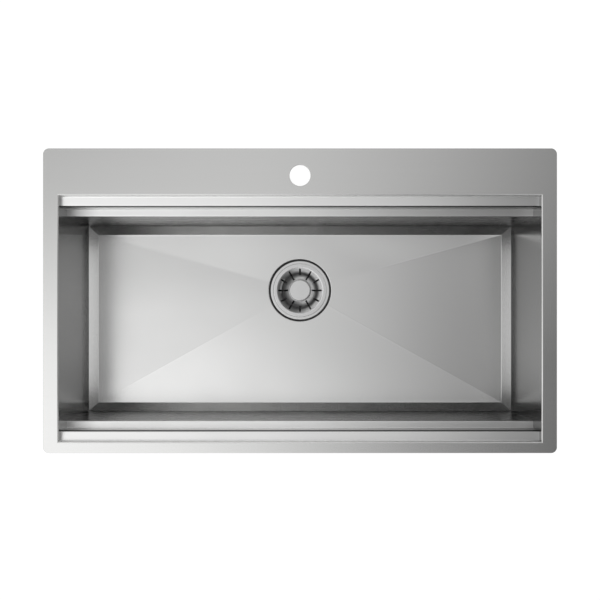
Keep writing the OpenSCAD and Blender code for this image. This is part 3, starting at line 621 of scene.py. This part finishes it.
# Strainer body: flange, cup and cone pressed from one sheet and polished. It drops into the recess
# on its gasket, and the thread rolled round the cup takes the clamp nut from below.


def turned(name, section, material):
    """Surface of revolution round the drain in 192 steps of a: each section point (r, z) becomes
    (r cos a, drain_y + r sin a, z)."""
    a = np.linspace(0, 2 * np.pi, 193)
    a[-1] = 0
    section = np.asarray(section)
    grid = np.empty((len(section), len(a), 3))
    grid[..., 0] = section[:, :1] * np.cos(a)
    grid[..., 1] = drain_y + section[:, :1] * np.sin(a)
    grid[..., 2] = section[:, 1:]
    return weld_grids(name, [grid], [material])


# Reach of the painted light and shade round the drain, the side it is painted lightest toward, and the middle
# of the arc with a painted glint.
shading_reach = 0.064
painted_lit_side = (0.966, 0.259, 0)
glint_side, glint_r = (-0.970, 0.243, 0), 0.0375


def polished_steel(name, tint, roughness, swirl=0.03, painted_rings=(), lime=(), shadow_ring_r=None):
    """Steel turned or spun while polished: rings of fine scratches, a noise on the distance from the drain's
    axis. The first list of rings, (radius, share of the tint), is painted light and shade round the drain,
    lightest toward one side and with a painted glint on a short arc; the second, (radius, share of bare
    metal), is where lime leaves a pale, dull coat. The two go together, and smooth curves join their points
    out to the reach set above the function. The last argument is the radius of a painted shadow line."""
    steel, tree = new_material(name)
    place = wire(tree, "ShaderNodeTexCoord").outputs["Object"]
    centred = wire(tree, "ShaderNodeMapping", place, (0, -drain_y, 0)).outputs[0]
    parts = wire(tree, "ShaderNodeSeparateXYZ", centred)
    flat = wire(tree, "ShaderNodeCombineXYZ", parts.outputs[0], parts.outputs[1]).outputs[0]
    distance = wire(tree, "ShaderNodeVectorMath", flat, operation="LENGTH").outputs["Value"]
    rings = wire(tree, "ShaderNodeCombineXYZ", distance, None, parts.outputs[2]).outputs[0]
    scratch = noise(tree, rings, 1600.0)
    rough = straight(tree, noise(tree, place, 60.0), 0.3, 0.7, roughness * 0.85, roughness * 1.15)
    colour = shaded_tint(tree, scratch, tint, swirl)
    bare = 1.0
    if painted_rings:
        outward = worked(tree, "DIVIDE", distance, shading_reach)
        shading_stops = [[(r / shading_reach, share) for r, share in stops] for stops in (painted_rings, lime)]
        painted_share, bare = (worked(tree, "MULTIPLY", ramp(tree, outward, stops), 2.0) for stops in shading_stops)
        # Painted shade in the limed part: darker away from one side, lighter toward it.
        to_bright = worked(tree, "DIVIDE", place_along(tree, flat, painted_lit_side), distance)
        side_shade = s_curve(tree, to_bright, -0.6, 0.4, 0.45, 1.35)
        side_shade = straight(tree, bare, 0.25, 1.0, side_shade, 1.0)
        side_shade = straight(tree, painted_share, 0.1, 0.6, 1.0, side_shade)
        painted_share = worked(tree, "MULTIPLY", painted_share, side_shade)
        # Painted glint: a short bright arc on the trough, toward the left.
        to_glint = worked(tree, "DIVIDE", place_along(tree, flat, glint_side), distance)
        painted_glint = s_curve(tree, to_glint, 0.90, 0.98, 0.0, 1.6)
        beside = s_curve(tree, gap_from(tree, distance, glint_r), 0.0004, 0.0020, 1.0, 0.0)
        painted_share = worked(tree, "MULTIPLY_ADD", painted_glint, beside, painted_share)
        colour = blended(tree, painted_share, (0, 0, 0, 1), colour, clamp_factor=False, clamp_result=True)
        rough = straight(tree, bare, 0.0, 1.0, 0.6, rough)
    if shadow_ring_r:
        # Painted shadow: a dark line on the basket round the edge of the knob above it.
        line = s_curve(tree, gap_from(tree, distance, shadow_ring_r), 0.0003, 0.0014, 1.0, 0.0)
        colour = blended(tree, line, colour, (0.30, 0.30, 0.30, 1))
    face = surface(tree, colour, rough, scratch, 0.08, 0.0004)
    if painted_rings:
        tree.links.new(bare, face.inputs["Metallic"])
    else:
        face.inputs["Metallic"].default_value = bare
    return steel


strainer_steel = polished_steel("strainer_polished", (0.60, 0.60, 0.598), 0.20)
body_section = rounded(
    [(0.0190, -0.2625), (0.0190, -0.2620), (0.0430, -0.2500), (0.0430, -0.2200), (0.0515, -0.2200),
     (0.0515, -0.2190), (0.0570, -0.2190), (0.0570, -0.2210), (0.0560, -0.2210), (0.0560, -0.2200),
     (0.0525, -0.2200), (0.0525, -0.2210), (0.0442, -0.2210), (0.0442, -0.2506), (0.0222, -0.2616),
     (0.0222, -0.2632), (0.0190, -0.2632), (0.0190, -0.2625)],
    [0, 0.004, 0.0024, 0.0004, 0.0004, 0.0009, 0.0002, 0.0002, 0, 0, 0, 0, 0.004, 0, 0, 0],
    steps=6, hold=0.0001)
strainer = turned("strainer_cup", body_section[::-1], strainer_steel)
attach(strainer, "sink")
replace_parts(strainer, "strainer_body")

# Basket: a thin pressing with a flat rim, a round trough with six long and six short slots punched
# through it by turns, and a raised middle. Light and shade are painted in rings on the trough, with a
# painted glint and a painted shadow line round the knob, and a coat of lime dulls the trough.
basket_rim_r, trough_r, hub_r, stem_hole_r = 0.0512, 0.0448, 0.0205, 0.0043
basket_top = -0.2192
basket_t, basket_edge_r = 0.0008, 0.0004
trough_h = 0.014
outer_flank_w, inner_flank_w = 0.01118, 0.01215
slots, slot_turn = 12, np.pi / 6
long_slot_r, short_slot_r, slot_out, slot_half = 0.0225, 0.02998, 0.0425, 0.0016


def smooth_step(t):
    """0 up to t = 0, 1 from t = 1, and 3t^2 - 2t^3 between."""
    t = np.clip(t, 0, 1)
    return t * t * (3 - 2 * t)


def trough_level(r):
    """Basket height at radius r: one smooth step down on the outer flank, one up on the inner flank."""
    down = smooth_step((trough_r - r) / outer_flank_w)
    up = smooth_step((hub_r + inner_flank_w - r) / inner_flank_w)
    return basket_top - trough_h * (down - up)


slot_ends = slot_half * (1 - np.cos(np.linspace(0, np.pi / 2, 6)))
basket_r = np.unique(np.concatenate([
    np.linspace(stem_hole_r, hub_r, 5), long_slot_r + slot_ends, np.linspace(hub_r, long_slot_r, 5),
    short_slot_r + slot_ends, np.linspace(long_slot_r + slot_half, slot_out - slot_half, 30),
    slot_out - slot_ends, np.linspace(slot_out, trough_r, 7), [0.046, 0.049, basket_rim_r - 0.0007],
    basket_rim_r - basket_edge_r * (1 - np.sin(np.linspace(0, np.pi / 2, 5)))]).round(7))


def slot_edge(slot_in):
    """Angle from the middle of a slot to its edge at each radius, for round ends at slot_in and slot_out."""
    inside = np.clip(np.minimum(basket_r - slot_in, slot_out - basket_r), 0, slot_half)
    return np.arcsin(np.sqrt(slot_half ** 2 - (slot_half - inside) ** 2) / basket_r)[:, None]


past_edge = np.maximum(0, basket_r - basket_rim_r + basket_edge_r)
drop = basket_edge_r - np.sqrt(np.maximum(0, basket_edge_r ** 2 - past_edge ** 2))
over_bridge = np.linspace(0, 1, 13)
bridges = []
for sector in range(slots):
    slot_starts = (long_slot_r, short_slot_r) if sector % 2 == 0 else (short_slot_r, long_slot_r)
    near_edge, far_edge = slot_edge(slot_starts[0]), slot_edge(slot_starts[1])
    angle = (sector + 1) * slot_turn - far_edge - (slot_turn - near_edge - far_edge) * over_bridge
    bridge = np.empty((*angle.shape, 3))
    bridge[..., 0] = basket_r[:, None] * np.cos(angle)
    bridge[..., 1] = drain_y + basket_r[:, None] * np.sin(angle)
    bridge[..., 2] = (trough_level(basket_r) - drop)[:, None]
    bridges.append(bridge)
# Painted light and shade in rings round the drain: shares below 1 darken, above 1 lighten.
trough_painted_rings = [(0.0, 1.0), (0.0200, 1.0), (0.0213, 1.4), (0.0233, 1.65), (0.0252, 1.5), (0.0271, 1.0),
              (0.0291, 0.55), (0.0310, 0.25), (0.0329, 0.10), (0.0349, 0.19), (0.0368, 0.66),
              (0.0388, 1.22), (0.0407, 1.4), (0.0426, 1.4), (0.0446, 1.1), (0.0465, 1.0), (0.0500, 1.0),
              (0.0509, 1.25), (0.06, 1.25)]
lime_coat = [(0.0, 1.0), (0.0200, 1.0), (0.0225, 0.4), (0.0245, 0.25), (0.0420, 0.25), (0.0440, 0.5),
             (0.0458, 1.0), (0.06, 1.0)]
# The basket's finish has painted light and shade in rings, a painted glint and a painted shadow line round
# the knob.
basket_steel = polished_steel("basket_polished", (0.60, 0.60, 0.600), 0.20,
                              painted_rings=trough_painted_rings, lime=lime_coat, shadow_ring_r=0.0204)
basket = weld_grids("slotted_basket", bridges, [basket_steel])
thick = basket.modifiers.new("sheet", "SOLIDIFY")
thick.thickness = basket_t
thick.offset = -1
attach(basket, "basket")
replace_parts(basket, "strainer_basket")

# Knob: turned from bar, a disc on a short neck, screwed onto the stem. Fingers lift the basket by it,
# and it stands just above the basket's raised middle.
knob_steel = polished_steel("knob_polished", (0.60, 0.60, 0.600), 0.22)
knob_low, knob_under, knob_top = -0.2189, -0.2167, -0.2147
knob_r, neck_r = 0.0197, 0.0090
knob_section = rounded([(0.0, knob_low), (neck_r, knob_low), (neck_r, knob_under), (knob_r, knob_under),
                        (knob_r, knob_top), (0.0, knob_top)],
                       [0.0003, 0.0008, 0.0006, 0.0009], steps=6, hold=0.0002)
knob = turned("lifting_knob", knob_section, knob_steel)
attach(knob, "basket_stem_unit")
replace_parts(knob, "basket_knob")

# Gasket under the strainer flange: black rubber, moulded with a raised outer rim. It fills the recess
# and shows as a dark ring round the flange.


def moulded(name, tint, roughness, grain=400.0, depth=0.0003, strength=0.25, spread=0.25):
    """Rubber, foam, fibre or plastic. A coarse noise on Object coordinates mottles the colour by the share
    spread and varies the roughness, and a fine one makes pores in the skin."""
    stuff, tree = new_material(name)
    place = wire(tree, "ShaderNodeTexCoord").outputs["Object"]
    pores = noise(tree, place, grain, detail=4.0)
    patches = noise(tree, place, 25.0)
    rough = straight(tree, patches, 0.3, 0.7, roughness * 0.9, min(1, roughness * 1.1))
    surface(tree, shaded_tint(tree, patches, tint, spread), rough, pores, strength, depth)
    return stuff


black_rubber = moulded("black_rubber", (0.036, 0.036, 0.036), 0.55, grain=900.0)
gasket_section = rounded(
    [(0.0460, -0.2220), (0.0596, -0.2220), (0.0596, -0.2204), (0.0574, -0.2204), (0.0574, -0.2210),
     (0.0460, -0.2210), (0.0460, -0.2220)], [0.0002, 0.0006, 0.0003, 0, 0], steps=4, hold=0.0001)
gasket = turned("flange_seal_ring", gasket_section, black_rubber)
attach(gasket, "sink")
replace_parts(gasket, "flange_gasket")

# Stiffener, spigot and tailpiece: mill-finish steel. The stiffener is a plate under the tap hole, the
# spigot a short pipe brazed under the strainer's cone, and the tailpiece the pipe that the trap takes.
plain_steel = brushed_steel("mill_steel", (0.46, 0.46, 0.455), 0.42, (300, 300, 300), streak=0.06)
for name in ("tap_hole_stiffener", "outlet_spigot", "tailpiece"):
    node[name].data.materials[0] = plain_steel

# Deck gasket: a strip of closed foam stuck under the deck's edge. The clips press it flat on the
# worktop, and it keeps water out of the cut-out.
foam = moulded("sealing_foam", (0.055, 0.055, 0.057), 0.95, grain=1500.0, depth=0.0006, strength=0.6)
node["deck_gasket"].data.materials[0] = foam

# Sound pads: heavy damping rubber cut from sheet and glued to the outside of the walls and under the
# floor, where they dull the ring of water on the steel.
damping = moulded("damping_rubber", (0.035, 0.036, 0.038), 0.75, grain=260.0, depth=0.0008, strength=0.5)
for name in ("rear_sound_pad", "front_sound_pad", "left_sound_pad", "right_sound_pad",
             "left_floor_pad", "right_floor_pad"):
    node[name].data.materials[0] = damping

# Seals and nuts of the waste: a rubber ring, a fibre ring and a plastic nut clamp the strainer to the
# pan from below, and a second nut pulls the tailpiece's washer tight. The stopper seals the outlet.
fibre = moulded("pressed_fibre", (0.32, 0.22, 0.12), 0.85, grain=700.0, strength=0.4)
nut_white = moulded("nut_plastic", (0.62, 0.62, 0.60), 0.42, grain=350.0, strength=0.1, spread=0.05)
for name in ("clamp_rubber_ring", "tailpiece_washer", "stopper_seal"):
    node[name].data.materials[0] = black_rubber
node["clamp_fibre_ring"].data.materials[0] = fibre
for name in ("clamp_nut", "coupling_nut"):
    node[name].data.materials[0] = nut_white

# Stem: a turned rod from the knob down through the basket into the guide cross, with the washer and the
# snap ring that hold the stopper on it. All three are polished like the strainer.
for name in ("basket_stem", "stopper_washer", "stem_snap_ring"):
    node[name].data.materials[0] = strainer_steel

# Clips: zinc plated steel. Eight bent brackets are spot welded under the deck, and in each a screw
# pulls a claw, on its washer, up against the worktop's underside.
zinc = brushed_steel("zinc_plated", (0.62, 0.64, 0.66), 0.38, (250, 250, 250), streak=0.08)
node["clip_brackets"].data.materials[0] = zinc
for number in range(1, 9):
    for part in ("washer", "screw", "claw"):
        node["clip_%s_%d" % (part, number)].data.materials[0] = zinc
